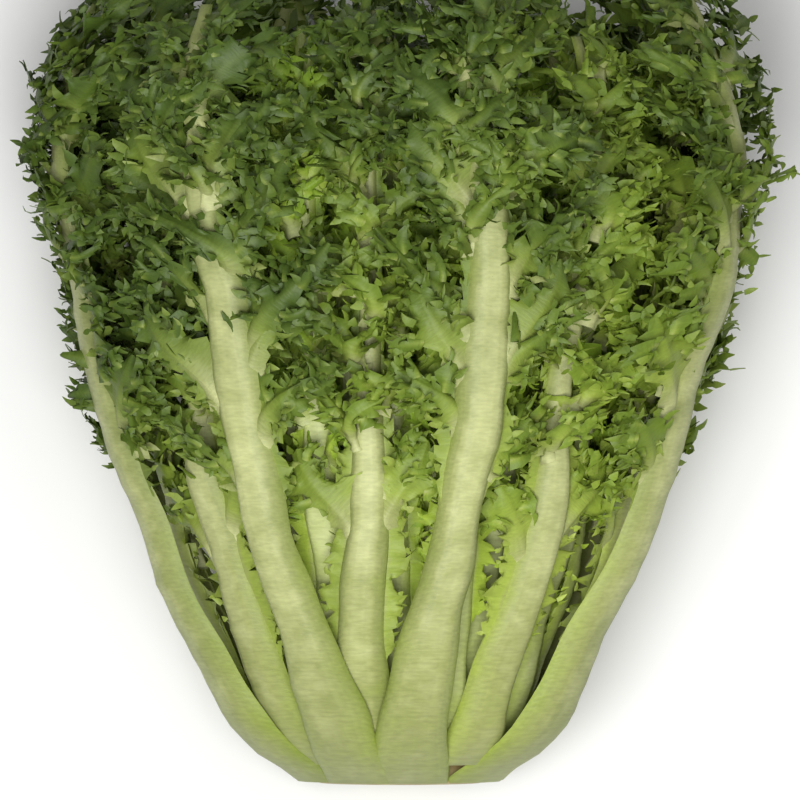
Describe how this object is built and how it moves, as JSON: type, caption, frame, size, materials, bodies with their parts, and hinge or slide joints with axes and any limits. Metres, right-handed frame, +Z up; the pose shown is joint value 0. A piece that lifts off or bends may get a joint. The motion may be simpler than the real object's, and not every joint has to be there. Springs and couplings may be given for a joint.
{
  "type": "curly endive head",
  "caption": "Cut head of curly endive lying on its side: frilled green leaves on broad pale ribs, in nested whorls around a short core.",
  "frame": {"origin": "middle of the head's underside, on the surface that it lies on", "axes": "+Y from the cut butt to the leaf tips, +Z up from the surface, +X to the right seen from above with the tips away"},
  "size_m": [0.1924, 0.2254, 0.1201],
  "materials": {
    "core": "moist pale cut stem, matte",
    "leaf_dark": "dark green curled leaf with a pale rib, soft sheen",
    "leaf_green": "mid green curled leaf with a pale rib, soft sheen",
    "leaf_light": "light green curled leaf with a pale rib, soft sheen",
    "leaf_heart": "yellow-green heart leaf with a near-white rib, soft sheen"
  },
  "bodies": {
    "root": {"core": "core", "outer_leaf_1": "leaf_dark", "outer_leaf_2": "leaf_dark", "outer_leaf_3": "leaf_dark", "outer_leaf_4": "leaf_dark", "outer_leaf_5": "leaf_dark", "outer_leaf_6": "leaf_dark", "outer_leaf_7": "leaf_dark", "outer_leaf_8": "leaf_dark", "second_leaf_1": "leaf_dark", "second_leaf_2": "leaf_dark", "second_leaf_3": "leaf_dark", "second_leaf_4": "leaf_dark", "second_leaf_5": "leaf_dark", "second_leaf_6": "leaf_dark", "second_leaf_7": "leaf_dark", "second_leaf_8": "leaf_dark", "second_leaf_9": "leaf_dark", "third_leaf_1": "leaf_green", "third_leaf_2": "leaf_green", "third_leaf_3": "leaf_green", "third_leaf_4": "leaf_green", "third_leaf_5": "leaf_green", "third_leaf_6": "leaf_green", "third_leaf_7": "leaf_green", "third_leaf_8": "leaf_green", "third_leaf_9": "leaf_green", "fourth_leaf_1": "leaf_green", "fourth_leaf_2": "leaf_green", "fourth_leaf_3": "leaf_green", "fourth_leaf_4": "leaf_green", "fourth_leaf_5": "leaf_green", "fourth_leaf_6": "leaf_green", "fourth_leaf_7": "leaf_green", "fourth_leaf_8": "leaf_green", "fourth_leaf_9": "leaf_green", "fifth_leaf_1": "leaf_light", "fifth_leaf_2": "leaf_light", "fifth_leaf_3": "leaf_light", "fifth_leaf_4": "leaf_light", "fifth_leaf_5": "leaf_light", "fifth_leaf_6": "leaf_light", "fifth_leaf_7": "leaf_light", "fifth_leaf_8": "leaf_light", "inner_leaf_1": "leaf_heart", "inner_leaf_2": "leaf_heart", "inner_leaf_3": "leaf_heart", "inner_leaf_4": "leaf_heart", "inner_leaf_5": "leaf_heart", "inner_leaf_6": "leaf_heart", "inner_leaf_7": "leaf_heart", "heart_leaf_1": "leaf_heart", "heart_leaf_2": "leaf_heart", "heart_leaf_3": "leaf_heart", "heart_leaf_4": "leaf_heart"}
  },
  "joints": []
}
